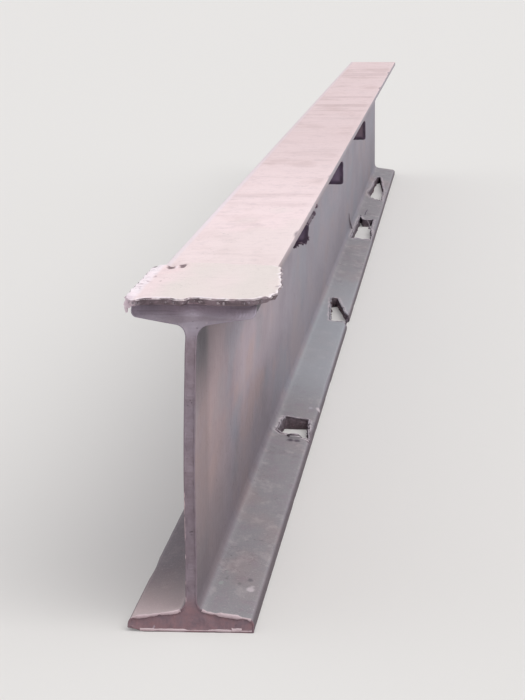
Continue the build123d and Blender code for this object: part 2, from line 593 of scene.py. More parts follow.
def cloud(x, y, z, size, layer=0):
    """Smooth unevenness between about -1 and 1, with lumps of about the given size."""
    return noise.noise((x / size + layer * 17.3, y / size - layer * 9.1, z / size + layer * 5.7))


def edge_normals(loop):
    """For each point of a closed outline, the unit vector to its right as one walks it."""
    result = []
    for before, after in zip(loop[-1:] + loop[:-1], loop[1:] + loop[:1]):
        along = Vector((after[0] - before[0], after[1] - before[1])).normalized()
        result.append((along.y, -along.x))
    return result


def ragged(loop, step, bite, layer):
    """A burnt edge: a closed outline divided finely, its corners melted, its line uneven."""
    fine = []
    for (ax, ay), (bx, by) in zip(loop, loop[1:] + loop[:1]):
        count = max(1, round(math.hypot(bx - ax, by - ay) / step))
        fine += [(ax + (bx - ax) * i / count, ay + (by - ay) * i / count) for i in range(count)]
    for melt in range(3):
        fine = [
            tuple(0.25 * a + 0.5 * b + 0.25 * c for a, b, c in zip(before, here, after))
            for before, here, after in zip(fine[-1:] + fine[:-1], fine, fine[1:] + fine[:1])
        ]
    moved = []
    for (x, y), (nx, ny) in zip(fine, edge_normals(fine)):
        shift = bite * (cloud(x, y, 0, 14, layer) + 0.6 * cloud(x, y, 0, 5, layer + 1))
        shift += bite * 1.5 * max(0.0, cloud(x, y, 0, 26, layer + 2) - 0.25)
        moved.append((x + nx * shift, y + ny * shift))
    return moved


def inside(loop, spots):
    """Which of the spots lie inside a closed outline."""
    spots = np.asarray(spots, float)
    ends = np.asarray(loop, float)
    starts = np.roll(ends, 1, axis=0)
    x, y = spots[:, 0][:, None], spots[:, 1][:, None]
    crosses = (ends[:, 1] > y) != (starts[:, 1] > y)
    rise = np.where(starts[:, 1] == ends[:, 1], 1.0, starts[:, 1] - ends[:, 1])
    at = ends[:, 0] + (y - ends[:, 1]) / rise * (starts[:, 0] - ends[:, 0])
    return (crosses & (x < at)).sum(axis=1) % 2 == 1


def burnt_sheet(border, holes, inner):
    """Cuts a sheet by burnt outlines. Gives its triangles, its free edges as directed pairs,
    and for each spot on a free edge the direction that points out of the sheet."""
    spots, edges = [], []
    for loop in [border, *holes]:
        first = len(spots)
        spots += loop
        edges += [(first + i, first + (i + 1) % len(loop)) for i in range(len(loop))]
    spots += inner
    cut = geometry.delaunay_2d_cdt([Vector(s[:2]) for s in spots], edges, [], 0, 0.002)
    spots, triangles = [tuple(s) for s in cut[0]], cut[2]
    middles = [tuple(sum(spots[i][k] for i in t) / 3 for k in (0, 1)) for t in triangles]
    keep = inside(border, middles)
    for hole in holes:
        keep &= ~inside(hole, middles)
    kept = []
    for triangle, stays in zip(triangles, keep):
        if stays:
            (ax, ay), (bx, by), (cx, cy) = [spots[i] for i in triangle]
            turn = (bx - ax) * (cy - ay) - (by - ay) * (cx - ax)
            kept.append(tuple(triangle) if turn > 0 else tuple(reversed(triangle)))
    pairs = {(t[i], t[(i + 1) % 3]) for t in kept for i in range(3)}
    free = [pair for pair in pairs if (pair[1], pair[0]) not in pairs]
    outward = {}
    for a, b in free:
        along = Vector((spots[b][0] - spots[a][0], spots[b][1] - spots[a][1])).normalized()
        for end in (a, b):
            outward[end] = outward.get(end, Vector((0.0, 0.0))) + Vector((along.y, -along.x))
    outward = {end: way.normalized() for end, way in outward.items()}
    return spots, kept, free, outward


def rim_spots(loops, reaches, fits):
    """Spots beside burnt outlines, at several distances, for the melted rims."""
    result = []
    for loop in loops:
        for index, ((x, y), (nx, ny)) in enumerate(zip(loop, edge_normals(loop))):
            for row, reach in enumerate(reaches):
                if row < 2 or (index + row) % 2:
                    for way in (-reach, reach):
                        result.append((x + nx * way, y + ny * way))
    return [spot for spot in result if fits(spot)]


def nearest_edge(loops):
    """A search tree over burnt outlines."""
    every = [point for loop in loops for point in loop]
    tree = kdtree.KDTree(len(every))
    for index, (x, y) in enumerate(every):
        tree.insert((x, y, 0.0), index)
    tree.balance()
    return tree


def away_from(tree, spot):
    """How far a spot is from the nearest of the outlines in a search tree."""
    return tree.find((*spot, 0.0))[2]


def bell(offset, width):
    """1 at no offset, falling away smoothly over about the given width."""
    return math.exp(-((offset / width) ** 2))


def ramp(value, start, end):
    """0 up to the start and 1 from the end on; the end may be the smaller."""
    return min(1.0, max(0.0, (value - start) / (end - start)))


# Burnt-out places: share of the outstand from the web to the edge, and millimetres
# along the beam from the near side of the burn
burn_pitch = 1265.0
first_burn = 1140.0  # from the near end
burn_outlines = [
    [(0.17, 22), (0.30, 0), (0.55, 6), (0.97, -18), (0.88, 60), (0.82, 150), (0.22, 156)],
    [(0.48, 0), (1.20, 6), (1.20, 84), (0.86, 132), (0.46, 345), (0.26, 330)],
    [(0.14, 215), (0.94, 228), (0.80, 480), (0.78, 735), (0.60, 690), (0.32, 690), (0.20, 790)],
    [(0.12, 175), (0.34, 40), (0.84, -20), (0.80, 300), (0.44, 740), (0.26, 700), (0.24, 360)],
]
burns = []
for number, shares in enumerate(burn_outlines):
    near_side = first_burn + number * burn_pitch
    loop = [(web_face + share * outstand, near_side + along) for share, along in shares]
    burns.append(ragged(loop, 3.5, 1.3, number * 3))
burn_edge = nearest_edge(burns)


def to_burn(spot):
    return away_from(burn_edge, spot)


def on_foot(spot):
    """Whether a spot is on what is left of the foot's right half."""
    x, y = spot
    within = seam_x + 0.8 < x < half_width - 0.8 and 3.0 < y < beam_length - 3.0
    return within and to_burn(spot) > 0.6


columns = [x for x, z in upper_face[seam:]]
foot_border = [(seam_x, station) for station in stations]
foot_border += [(x, beam_length) for x in columns[1:]]
foot_border += [(half_width, station) for station in reversed(stations[:-1])]
foot_border += [(x, 0.0) for x in reversed(columns[1:-1])]
foot_inner = [
    (x, station)
    for x in columns[1:-1]
    for station in stations[1:-1]
    if to_burn((x, station)) > 7.0
]
foot_inner += rim_spots(burns, (0.9, 2.2, 4.2, 7.0), on_foot)
spots, triangles, free, outward = burnt_sheet(foot_border, burns, foot_inner)


def foot_upper_face(x):
    """Height of the foot's upper face over its underside, with its fillets."""
    if x < root_arc[-1][0]:
        return root_z - math.sqrt(max(0.0, root_radius**2 - (x - root_x) ** 2))
    if x > toe_arc[0][0]:
        return toe_z + math.sqrt(max(0.0, toe_radius**2 - (x - toe_x) ** 2))
    return flange_line(x)


def melted(distance, radius):
    """How far a face falls away at a distance from a melted edge."""
    if distance >= radius:
        return 0.0
    return radius - math.sqrt(radius**2 - (radius - distance) ** 2)


rim_radius = 2.6
rim_reach = 12.0  # past this the foot's faces are as rolled
bead_place, bead_width = 3.2, 2.2  # the raised line beside a burnt edge
upper, lower = {}, {}
for index in {i for triangle in triangles for i in triangle}:
    x, y = spots[index]
    if x < seam_x + 0.01:
        x = seam_x
    gap = to_burn((x, y))
    top, low = foot_upper_face(x), foot_underside(x)
    if gap < rim_reach:
        bead = (0.9 + 1.3 * cloud(x, y, 0, 11, 40)) * bell(gap - bead_place, bead_width)
        bead *= min(1.0, (x - seam_x) / 4.0)
        top += bead - melted(gap, rim_radius)
        low += melted(gap, rim_radius * 0.7)
    upper[index] = len(beam_points)
    beam_points.append((x, near_end + y, top))
    lower[index] = len(beam_points)
    beam_points.append((x, near_end + y, low))
for a, b, c in triangles:
    beam_faces += [(upper[a], upper[b], upper[c]), (lower[c], lower[b], lower[a])]

wall_rows = (1 / 3, 2 / 3)
wall = {}
for index, (out_x, out_y) in outward.items():
    x, y = spots[index]
    top, low = beam_points[upper[index]], beam_points[lower[index]]
    burnt_through = to_burn((x, y)) < 0.5
    rows = [upper[index]]
    for row in wall_rows:
        push = (1.0 + 1.6 * cloud(x, y, row * 40, 6, 50)) if burnt_through else 0.0
        rows.append(len(beam_points))
        height = top[2] + (low[2] - top[2]) * row
        beam_points.append((x + out_x * push, near_end + y + out_y * push, height))
    wall[index] = rows + [lower[index]]
for a, b in free:
    (ax, ay), (bx, by) = spots[a], spots[b]
    on_seam = max(ax, bx) < seam_x + 0.01
    on_end = max(ay, by) < 0.01 or min(ay, by) > beam_length - 0.01
    if not on_seam and not on_end:
        for row in range(len(wall_rows) + 1):
            beam_faces.append((wall[b][row], wall[a][row], wall[a][row + 1], wall[b][row + 1]))

# The two ends. The near one is a torch cut: drag lines across the metal's thickness,
# and edges melted round. The far one is cropped square.
end_loop = outline + [(x, foot_underside(x)) for x in columns[1:]]
end_loop += list(reversed(edge_face)) + list(reversed(upper_face[seam + 1 :]))
end_normals = edge_normals(end_loop)
loop_tree = nearest_edge([end_loop])
cut_radius, crop_radius = 1.3, 0.5
drag_pitch = 4.4  # from one drag line to the next
cut_grain = 1.9  # between the points of the cut's face


def drawn_in(x, z, distance):
    """A point of the section's outline, moved inwards."""
    nx, nz = end_normals[loop_tree.find((x, z, 0.0))[1]]
    return x - nx * distance, z - nz * distance


for index, (x, y, z) in enumerate(beam_points):
    from_near, from_far = y - near_end, -near_end - y
    if from_near < cut_radius:
        x, z = drawn_in(x, z, melted(from_near, cut_radius))
    elif from_far < crop_radius:
        x, z = drawn_in(x, z, melted(from_far, crop_radius))
    beam_points[index] = (x, y, z)


def drag_lines(x, z):
    """How far the torch's drag lines go into the near end, in millimetres."""
    over_flange = abs(x) > web_face + 4.0
    along = x if over_flange else z
    middle = 10.0 if z < section_height / 2 else section_height - 10.0
    across = z - middle if over_flange else x
    bowed = along + 0.035 * across**2
    wave = math.sin(bowed * 2 * math.pi / drag_pitch + 2.5 * cloud(x, 0, z, 30, 60))
    return 0.35 * (1 + wave) + 0.5 * (1 + cloud(x, 0, z, 9, 61)) + 0.6 * (1 + cloud(x, 0, z, 24, 62))


for y, radius, grain in ((near_end, cut_radius, cut_grain), (-near_end, crop_radius, 0.0)):
    loop = [(x - nx * radius, z - nz * radius) for (x, z), (nx, nz) in zip(end_loop, end_normals)]
    inner = []
    if grain:
        for i in range(round(flange_width / grain)):
            for j in range(round(section_height / grain)):
                x = -half_width + (i + 0.5 * (j % 2)) * grain
                inner.append((x + 0.3 * cloud(x, j, 0, 1.7), j * grain))
        room = [(x - nx, z - nz) for (x, z), (nx, nz) in zip(loop, end_normals)]
        inner = [spot for spot, fits in zip(inner, inside(room, inner)) if fits]
    spots, triangles, free, outward = burnt_sheet(loop, [], inner)
    first = len(beam_points)
    edge = {end for pair in free for end in pair}
    for index, (x, z) in enumerate(spots):
        depth = 0.0 if index in edge or not grain else drag_lines(x, z)
        beam_points.append((x, y + depth, z))
    beam_faces += [tuple(first + i for i in triangle) for triangle in triangles]


# The cut runs plumb up the web, then leans back: millimetres up and how far it is set back
cut_knots = [(0, 0), (24, 6.8), (55, 10), (98, 7.5), (144, 2.2), (190, 0.1), (236, 3.5)]
cut_knots += [(275, 11), (304, 16.8), (330, 22.6), (342, 28), (352, 36.5), (363, 49), (380, 70)]
cut_heights, cut_backs = np.array(cut_knots, float).T
cut_slopes = np.gradient(cut_backs, cut_heights)
fine_heights = np.linspace(0.0, section_height, 191)  # for a smooth line through those points
above = np.clip(np.searchsorted(cut_heights, fine_heights), 1, len(cut_heights) - 1)
below = above - 1
rise = cut_heights[above] - cut_heights[below]
way = (fine_heights - cut_heights[below]) / rise
fine_backs = cut_backs[below] + (3 * way**2 - 2 * way**3) * (cut_backs[above] - cut_backs[below])
leaving = (way**3 - 2 * way**2 + way) * cut_slopes[below]
arriving = (way**3 - way**2) * cut_slopes[above]
fine_backs += rise * (leaving + arriving)

burr_room = 2.6  # the cut's face stands this far behind its line, so that the burrs have room
lean_fades = 260.0  # past this the beam is straight
toe_burn = Vector((-56.0, 30.0, 9.0))  # the left toe's corner is burnt off below, inside this
toe_burn_width, toe_burn_rise = 14.0, 4.5


def setback(x, z):
    """How far back the torch cut stands at a height, wandering as the hand did."""
    back = float(np.interp(z, fine_heights, fine_backs))
    skew = -0.07 * x * ramp(z, 330.0, 360.0)
    wander = 1.6 * cloud(x, 0, z, 34, 70) + 0.8 * cloud(x, 0, z, 9, 71)
    return back + skew + burr_room + wander


def torch_cut(x, y, z):
    """Leans the near end of the straight beam back to the line of the cut."""
    from_near = y - near_end
    share = ramp(from_near, 0.0, lean_fades)
    lean = 1.0 - share * share * (3 - 2 * share)
    y += setback(x, z) * lean
    if x < toe_burn.x and from_near < toe_burn.y and z < toe_burn.z:
        inwards = ramp(x, toe_burn.x, toe_burn.x - toe_burn_width)
        z += toe_burn_rise * inwards * (1 - from_near / toe_burn.y) * (1 - z / toe_burn.z)
    return x, max(y, near_end + 0.3), z


def weathered(x, y, z, nx, nz):
    """Years of rust: no face is quite flat, and the flanges' edges are nicked."""
    loss = 0.22 * (1 + cloud(x, y, z, 45, 80)) + 0.12 * (1 + cloud(x, y, z, 16, 81))
    if z < 0.05:
        loss *= 0.4
    x, z = x - nx * loss, z - nz * loss
    if abs(x) > 71 and abs(nx) > 0.6:
        nick = max(0.0, cloud(x, y, z, 130, 82) - 0.42) * 5.0
        x -= math.copysign(min(nick, 1.0), x)
    return x, y, z


def shade_smooth(work, sharp_from):
    """Shades a mesh smooth and marks its sharp edges, from an angle in degrees."""
    for edge in work.edges:
        edge.smooth = edge.calc_face_angle(3.0) < math.radians(sharp_from)
    for face in work.faces:
        face.smooth = True


def add_piece(name, mesh, material, slot, *nodes):
    """Puts a finished mesh on the object's one body, in place of the CAD nodes named."""
    mesh.materials.clear()
    mesh.materials.append(material)
    piece = bpy.data.objects.new(name, mesh)
    bpy.context.collection.objects.link(piece)
    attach(piece, "root")
    if nodes:
        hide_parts(*nodes)


crease_angle = 42.0  # degrees
beam_mesh = bpy.data.meshes.new("i_beam")
beam_mesh.from_pydata(beam_points, [], beam_faces)
work = bmesh.new()
work.from_mesh(beam_mesh)
bmesh.ops.remove_doubles(work, verts=work.verts, dist=0.01)
bmesh.ops.recalc_face_normals(work, faces=work.faces)
work.normal_update()
burnt_layer, cut_layer, worn_layer = [
    work.verts.layers.float.new(value) for value in ("burnt", "cut", "worn")
]
placed = []
for vert in work.verts:
    x, y, z = vert.co
    from_near = y - near_end
    rim = 0.0
    if x > seam_x and z < 30 and from_near > 100:
        rim = bell(to_burn((x, from_near)), 7.0)
    vert[burnt_layer] = max(rim, 0.4 * bell(from_near, 9.0))
    if from_near < 2.4:
        to_rim = away_from(loop_tree, (x, z))
        vert[cut_layer] = 1.0 - 0.5 * bell(to_rim, 2.6) - 0.5 * ramp(from_near, 0.4, 1.4)
    if z > 379 and 300 < from_near < 1300:  # the top behind the plate, rubbed on its right
        fade = (1050 + 60 * x / half_width - from_near) / 640 + 0.7 * cloud(x, y * 0.35, 0, 45, 83)
        vert[worn_layer] = min(0.38, max(0.0, fade)) * (0.5 + 0.5 * ramp(x, -50, -10))
    if 2.5 < from_near < beam_length - 2.5:
        x, y, z = weathered(x, y, z, vert.normal.x, vert.normal.z)
    placed.append(torch_cut(x, y, z))
for vert, place in zip(work.verts, placed):
    vert.co = [value * mm for value in place]
shade_smooth(work, crease_angle)
work.to_mesh(beam_mesh)
work.free()
add_piece("rolled_beam", beam_mesh, beam_rust, "rolled_steel", "i_beam")

# End plate: what is left of a 10 mm mild-steel bearing plate on the near end of the top
# flange. It was welded down and later burnt off round all four sides, so its edge is
# scalloped and its front lip hangs over the cut end of the beam.

plate_thickness = 10.0
plate_length = 335.0
plate_overhang = 30.0  # past the cut end of the top flange
plate_lap_left, plate_lap_right = 8.0, 24.0
end_setback = 70.0  # of the cut end of the top flange
plate_near = near_end + end_setback - plate_overhang
plate_far = plate_near + plate_length
plate_left = -half_width - plate_lap_left
plate_right = half_width + plate_lap_right
plate_width = plate_right - plate_left
plate_top = section_height + plate_thickness

# Each pair is a share of the side and how far it is burnt in, in millimetres
front_burns = [(0.09, -16), (0.12, 2), (0.30, 8), (0.40, -14), (0.44, 14), (0.60, -4), (0.86, 0)]
right_burns = [(0.06, 15), (0.12, 5), (0.19, 2), (0.36, 0), (0.68, 9), (0.90, 14)]
back_burns = [(0.86, 18), (0.60, 6), (0.40, 0), (0.24, -4), (0.14, 10), (0.05, 12)]
left_burns = [(0.88, 0), (0.66, 1), (0.45, 2), (0.28, -4), (0.12, 0), (0.04, 3)]
plate_outline = [(plate_left + share * plate_width, plate_near + burn) for share, burn in front_burns]
plate_outline += [
    (plate_right - burn, plate_near + share * plate_length) for share, burn in right_burns
]
plate_outline += [(plate_left + share * plate_width, plate_far - burn) for share, burn in back_burns]
plate_outline += [(plate_left + burn, plate_near + share * plate_length) for share, burn in left_burns]

edge_room = 1.6  # between the burnt edge and the sides of the CAD plate's box
plate_low, plate_high = [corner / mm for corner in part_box("end_plate")]
plate_edge = [
    (
        min(max(x, plate_low.x + edge_room), plate_high.x - edge_room),
        min(max(y, plate_low.y + edge_room), plate_high.y - edge_room),
    )
    for x, y in ragged(plate_outline, 3.0, 1.9, 23)
]

# Bites in the right edge: millimetres from the near end, how deep and how wide
right_bites = [(84, 3.0, 6), (131, 1.6, 13), (176, 1.2, 5), (207, 2.6, 9)]
right_bites += [(262, 1.4, 16), (312, 1.8, 7)]
for index, (x, y) in enumerate(plate_edge):
    if x > 60:
        bites = [deep * bell(y - near_end - at, wide) for at, deep, wide in right_bites]
        plate_edge[index] = (x - sum(bites), y)
plate_edge_tree = nearest_edge([plate_edge])


def clear_of(edge, tree, spots, margin):
    """The spots inside an outline, and farther from its line than the margin."""
    fits = inside(edge, spots)
    return [spot for spot, good in zip(spots, fits) if good and away_from(tree, spot) > margin]


plate_grain = 5.0
plate_inner = [
    (plate_left + i * plate_grain, plate_near + j * plate_grain * 1.3)
    for i in range(1, round(plate_width / plate_grain))
    for j in range(-2, round(plate_length / plate_grain / 1.3))
]
plate_inner = clear_of(plate_edge, plate_edge_tree, plate_inner, 8.5)
for reach in (0.9, 2.0, 3.6, 5.6, 8.0):
    for index, ((x, y), (nx, ny)) in enumerate(zip(plate_edge, edge_normals(plate_edge))):
        spot = (x - nx * reach, y - ny * reach)
        if (reach < 3 or index % 2) and away_from(plate_edge_tree, spot) > 0.8 * reach:
            plate_inner.append(spot)

# Craters and heaps of slag on its top: across, from the near end, how wide and how deep or high
craters = [(-57, 350, 5.5, 6.5), (-45, 354, 5.0, 5.5), (88, 82, 3.0, 2.5)]
heaps = [(-66, 350, 3.0, 1.1), (-51, 352, 3.0, 0.9), (-39, 356, 3.0, 0.9), (-58, 366, 3.0, 1.0)]


def mounds(x, y, places, stretch):
    """Height of soft mounds that are stretched along the beam."""
    return sum(
        rise * math.exp(-((x - cx) ** 2 + ((y - near_end - cy) / stretch) ** 2) / wide**2)
        for cx, cy, wide, rise in places
    )


def plate_upper(x, y):
    """Height of the plate's top: a little hollow, with scabs at its sides and slag at its edge."""
    gap = away_from(plate_edge_tree, (x, y))
    height = plate_top - 1.1 - 0.5 * cloud(x, y, 0, 60, 30) - 0.25 * cloud(x, y, 0, 14, 31)
    ridge = (0.6 + 1.4 * cloud(x, y, 0, 15, 32)) * bell(gap - 4.5, 3.2)
    at_sides = max(ramp(x, -56, -68), ramp(x, 82, 90))
    scab = at_sides * (2.9 * cloud(x, y * 0.55, 0, 9, 33) - 1.1)
    heap, crater = mounds(x, y, heaps, 2.6), mounds(x, y, craters, 4.0)
    height += ridge + scab + heap - crater - melted(gap, 1.8)
    return min(height, plate_top)


def plate_under(x, y):
    """Height of its underside: flat on the flange, thinned by the flame along free edges."""
    gap = away_from(plate_edge_tree, (x, y))
    thin = 0.0
    if y < near_end + end_setback + 2.0 or abs(x) > half_width:
        reach = 4.8 + 2.2 * cloud(x, y, 0, 20, 36)
        thin = (6.3 + 1.2 * cloud(x, y, 0, 22, 34)) * max(0.0, 1 - gap / reach)
    return section_height + max(0.0, thin) + melted(gap, 0.8)


def smooth(mesh, sharp_from):
    """Turns a closed mesh outwards, shades it smooth and marks its sharp edges."""
    work = bmesh.new()
    work.from_mesh(mesh)
    bmesh.ops.recalc_face_normals(work, faces=work.faces)
    if work.calc_volume(signed=True) < 0:  # a thin ragged plate can come out turned inwards
        bmesh.ops.reverse_faces(work, faces=work.faces)
    shade_smooth(work, sharp_from)
    work.to_mesh(mesh)
    work.free()


def burnt_plate(name, edge, inner, top_of, under_of, rows, wobble, layer, place, worn_at):
    """A closed plate between two faces, cut by one burnt outline, with so many rows in its edge."""
    spots, triangles, free, outward = burnt_sheet(edge, [], inner)
    points, faces, above, below, wall = [], [], {}, {}, {}
    for index in {i for triangle in triangles for i in triangle}:
        x, y = spots[index]
        above[index], below[index] = len(points), len(points) + 1
        points += [(x, y, top_of(x, y)), (x, y, under_of(x, y))]
    for a, b, c in triangles:
        faces += [(above[a], above[b], above[c]), (below[c], below[b], below[a])]
    for index, (out_x, out_y) in outward.items():
        x, y = spots[index]
        top, low = points[above[index]][2], points[below[index]][2]
        chain = [above[index]]
        for row in range(1, rows):
            push = (0.5 + wobble * cloud(x, y, row * 30, 7, layer)) * (1 - row / rows)
            chain.append(len(points))
            points.append((x + out_x * push, y + out_y * push, top + (low - top) * row / rows))
        wall[index] = chain + [below[index]]
    for a, b in free:
        for i in range(rows):
            faces.append((wall[b][i], wall[a][i], wall[a][i + 1], wall[b][i + 1]))
    mesh = bpy.data.meshes.new(name)
    mesh.from_pydata([[value * mm for value in place(*point)] for point in points], [], faces)
    tree = nearest_edge([edge])
    under = set(below.values())
    # on the underside burnt reaches 9 mm in, so its dark slag colour is painted shade under the
    # overhanging lip as well as scorch
    scorch_and_underside_shade = [
        bell(away_from(tree, (x, y)), 9.0 if index in under else 4.0)
        for index, (x, y, z) in enumerate(points)
    ]
    for label, values in (("burnt", scorch_and_underside_shade), ("worn", [worn_at(x, y) for x, y, z in points])):
        mesh.attributes.new(label, "FLOAT", "POINT").data.foreach_set("value", values)
    smooth(mesh, crease_angle)
    return mesh


def rubbed(x, y):
    """Where the pink dust is worn to cream: all but the plate's left side."""
    from_left = ramp(x + 52 + 22 * cloud(x, y, 0, 60, 37), 0, 30)
    return from_left * min(1.0, 0.85 + 0.5 * cloud(x, y * 0.4, 0, 40, 38))


plate_mesh = burnt_plate(
    "bearing_plate", plate_edge, plate_inner, plate_upper, plate_under,
    rows=4, wobble=0.9, layer=35, place=lambda x, y, z: (x, y, z), worn_at=rubbed,
)
plate_rust = rusty_steel(
    "rusty_plate_steel",
    plain=(162, 146, 154), dark=(136, 118, 127), fresh=(244, 216, 218), cool=(214, 208, 208),
    dust=(249, 229, 231), foot_dust=(190, 184, 184), rim=(251, 242, 248), cover=0.95,
    marks=[
        (-58, 360, 385, 6.2, (84, 64, 70)),
        (-44, 364, 386, 5.4, (96, 76, 84)),
        (-51, 352, 389, 4.0, (250, 238, 245)),
        # painted shade: soft darker spots on the crust along the left and right edges, standing in for
        # shading of its lumps
        (-68, 199, 389, 3.0, (176, 152, 160)),
        (-66, 246, 389, 3.0, (190, 168, 174)),
        (-54, 197, 389, 2.0, (200, 180, 184)),
        (-73, 171, 389, 2.5, (180, 158, 168)),
        (90, 104, 389, 3.0, (186, 170, 174)),
        (92, 160, 389, 3.0, (196, 182, 186)),
        (88, 262, 389, 3.0, (202, 188, 190)),
        (-77, 46, 382, 12.0, (228, 210, 220)),
    ],
)
add_piece("bearing_plate", plate_mesh, plate_rust, "plate_steel", "end_plate")

# Cleats: stubs of three 8 mm flat bars that stood across the beam, welded to the web and
# to the underside of the top flange. The nearest was torn off, the others burnt off square.

cleat_count = 3
cleat_thickness = 8.0
cleat_depth = 46.0
cleat_cope = 24.0
first_cleat = 1070.0  # from the near end of the foot
cleat_pitch = 1150.0


def top_flange_underside(x):
    return section_height - flange_line(x)


cleat_foot = top_flange_underside(half_width) - cleat_depth
cope_x = web_face + cleat_cope

# Lower edges, from the web to the flange's edge: share of the outstand, millimetres up
straight_edge = [(0, 0), (1, 0)]
torn_edge = [(0, 0), (0.38, 1), (0.46, 4), (0.52, 3), (0.58, 9), (0.66, 7), (0.74, 10), (0.80, 16)]
torn_edge += [(0.88, 14), (0.97, 17), (1.0, 24)]
# cleat steel darker than the beam's, partly painted shade, as the stubs stand under the top flange
cleat_rust_and_shade = rusty_steel(
    "rusty_shaded_cleat_steel",
    plain=(116, 100, 122), dark=(78, 61, 82), fresh=(122, 102, 108), cool=(96, 92, 112),
    dust=(196, 178, 182), foot_dust=(160, 150, 150), rim=(170, 150, 154), cover=0.8,
)
for number in range(cleat_count):
    lower_edge = torn_edge if number == 0 else straight_edge
    cleat_outline = [(web_face + share * outstand, cleat_foot + up) for share, up in lower_edge]
    cleat_outline += [
        (half_width, top_flange_underside(half_width)),
        (cope_x, top_flange_underside(cope_x)),
        (web_face, top_flange_underside(web_face) - cleat_cope),
    ]
    bite = 1.1 if number == 0 else 0.5
    cleat_edge = ragged(cleat_outline, 2.5, bite, 90 + number * 4)
    cleat_edge_tree = nearest_edge([cleat_edge])
    grid = [(web_face + i * 4.0, cleat_foot - 8 + j * 4.0) for i in range(18) for j in range(20)]
    inner = clear_of(cleat_edge, cleat_edge_tree, grid, 2.8)
    inner += [(x - nx, z - nz) for (x, z), (nx, nz) in zip(cleat_edge, edge_normals(cleat_edge))]
    cleat_place = near_end + first_cleat + number * cleat_pitch

    def face_away(x, z):
        gap = away_from(cleat_edge_tree, (x, z))
        return cleat_thickness - 0.3 - 0.3 * cloud(x, z, number * 50, 14, 95) - melted(gap, 1.0)

    def face_near(x, z):
        gap = away_from(cleat_edge_tree, (x, z))
        return 0.3 + 0.3 * cloud(x, z, number * 50, 14, 96) + melted(gap, 1.0)

    def on_beam(x, z, depth):
        return x, cleat_place + depth, z

    name = f"cleat_stub_{number + 1}"
    mesh = burnt_plate(
        name, cleat_edge, inner, face_away, face_near,
        rows=3, wobble=0.4, layer=97, place=on_beam, worn_at=lambda x, z: 0.0,
    )
    add_piece(name, mesh, cleat_rust_and_shade, "cleat_steel", f"cleat_{number + 1}")

# Melted rims: along every cut the flame left a thin bead of steel that ran back over the
# edge and rusted pale, and drops of dark slag that froze on the way down. Where the torch
# stopped and started, a few tongues curled up or hang below the edge.

bead_sizes = ["Thickness", "Spacing", "Wander", "Lump Size", "Unevenness", "Taper", "Seed"]
bead_sizes += ["Ripple", "Ripple Pitch"]
bead_inputs = {"Geometry": geometry_kind, "Material": material_kind}
bead_inputs.update({label: number_kind for label in bead_sizes})
bead_sheet, asked = growing_tree("melted_bead", bead_inputs)
line = bead_sheet.node("GeometryNodeMeshToCurve", inputs={0: asked["Geometry"]})
line = bead_sheet.node(
    "GeometryNodeResampleCurve", {"mode": "LENGTH"}, {"Curve": line, "Length": asked["Spacing"]}
)
lump = bead_sheet.node(
    "ShaderNodeTexNoise",
    {"noise_dimensions": "4D"},
    {
        "Vector": bead_sheet.node("GeometryNodeInputPosition"),
        "W": asked["Seed"],
        "Scale": 1.0 / asked["Lump Size"],
        "Detail": 2.0,
    },
)
aside = bead_sheet.vector("SUBTRACT", lump.output("Color"), (0.5, 0.5, 0.5))
aside = bead_sheet.vector("SCALE", aside, asked["Wander"] * 2.0)
line = bead_sheet.node("GeometryNodeSetPosition", inputs={"Geometry": line, "Offset": aside})
way = bead_sheet.node("GeometryNodeSplineParameter", output="Factor")
swell = 1.0 + asked["Unevenness"] * (lump.between(0.32, 0.68) * 2.0 - 1.0)
turn = way.output("Length") / asked["Ripple Pitch"] * (2 * math.pi)
swell = swell * (1.0 + asked["Ripple"] * turn.sine()) * (1.0 - asked["Taper"] * way)
thick = asked["Thickness"] * swell.at_least(0.12)
ring = bead_sheet.node("GeometryNodeCurvePrimitiveCircle", inputs={"Resolution": 7, "Radius": 1.0})
bead = bead_sheet.node(
    "GeometryNodeCurveToMesh",
    inputs={"Curve": line, "Profile Curve": ring, "Scale": thick, "Fill Caps": True},
)
end_growing(bead_sheet, bead, asked["Material"])

drop_sizes = ["Spacing", "Smallest", "Largest", "Scatter", "Seed"]
drop_inputs = {"Geometry": geometry_kind, "Material": material_kind}
drop_inputs.update({label: number_kind for label in drop_sizes})
drop_sheet, asked = growing_tree("slag_drops", drop_inputs)
line = drop_sheet.node("GeometryNodeMeshToCurve", inputs={0: asked["Geometry"]})
dots = drop_sheet.node(
    "GeometryNodeCurveToPoints", {"mode": "LENGTH"}, {"Curve": line, "Length": asked["Spacing"]}
)
aside = drop_sheet.node(
    "FunctionNodeRandomValue",
    {"data_type": "FLOAT_VECTOR"},
    {0: (-1.0, -1.0, -1.0), 1: (1.0, 1.0, 1.0), "Seed": asked["Seed"]},
)
aside = drop_sheet.vector("SCALE", aside, asked["Scatter"])
dots = drop_sheet.node("GeometryNodeSetPosition", inputs={"Geometry": dots, "Offset": aside})
stretch = drop_sheet.node(
    "FunctionNodeRandomValue",
    {"data_type": "FLOAT_VECTOR"},
    {0: (0.7, 0.7, 0.6), 1: (1.3, 1.3, 1.5), "Seed": asked["Seed"] + 1},
)
large = drop_sheet.node(
    "FunctionNodeRandomValue", {"data_type": "FLOAT"}, {2: 0.0, 3: 1.0, "Seed": asked["Seed"] + 2}, 1
)
large = asked["Smallest"] + (asked["Largest"] - asked["Smallest"]) * large ** 2.5
ball = drop_sheet.node("GeometryNodeMeshIcoSphere", inputs={"Radius": 1.0, "Subdivisions": 2})
drops = drop_sheet.node(
    "GeometryNodeInstanceOnPoints",
    inputs={"Points": dots, "Instance": ball, "Scale": drop_sheet.vector("SCALE", stretch, large)},
)
end_growing(drop_sheet, drops, asked["Material"])

bead_crease_angle = 80.0  # degrees


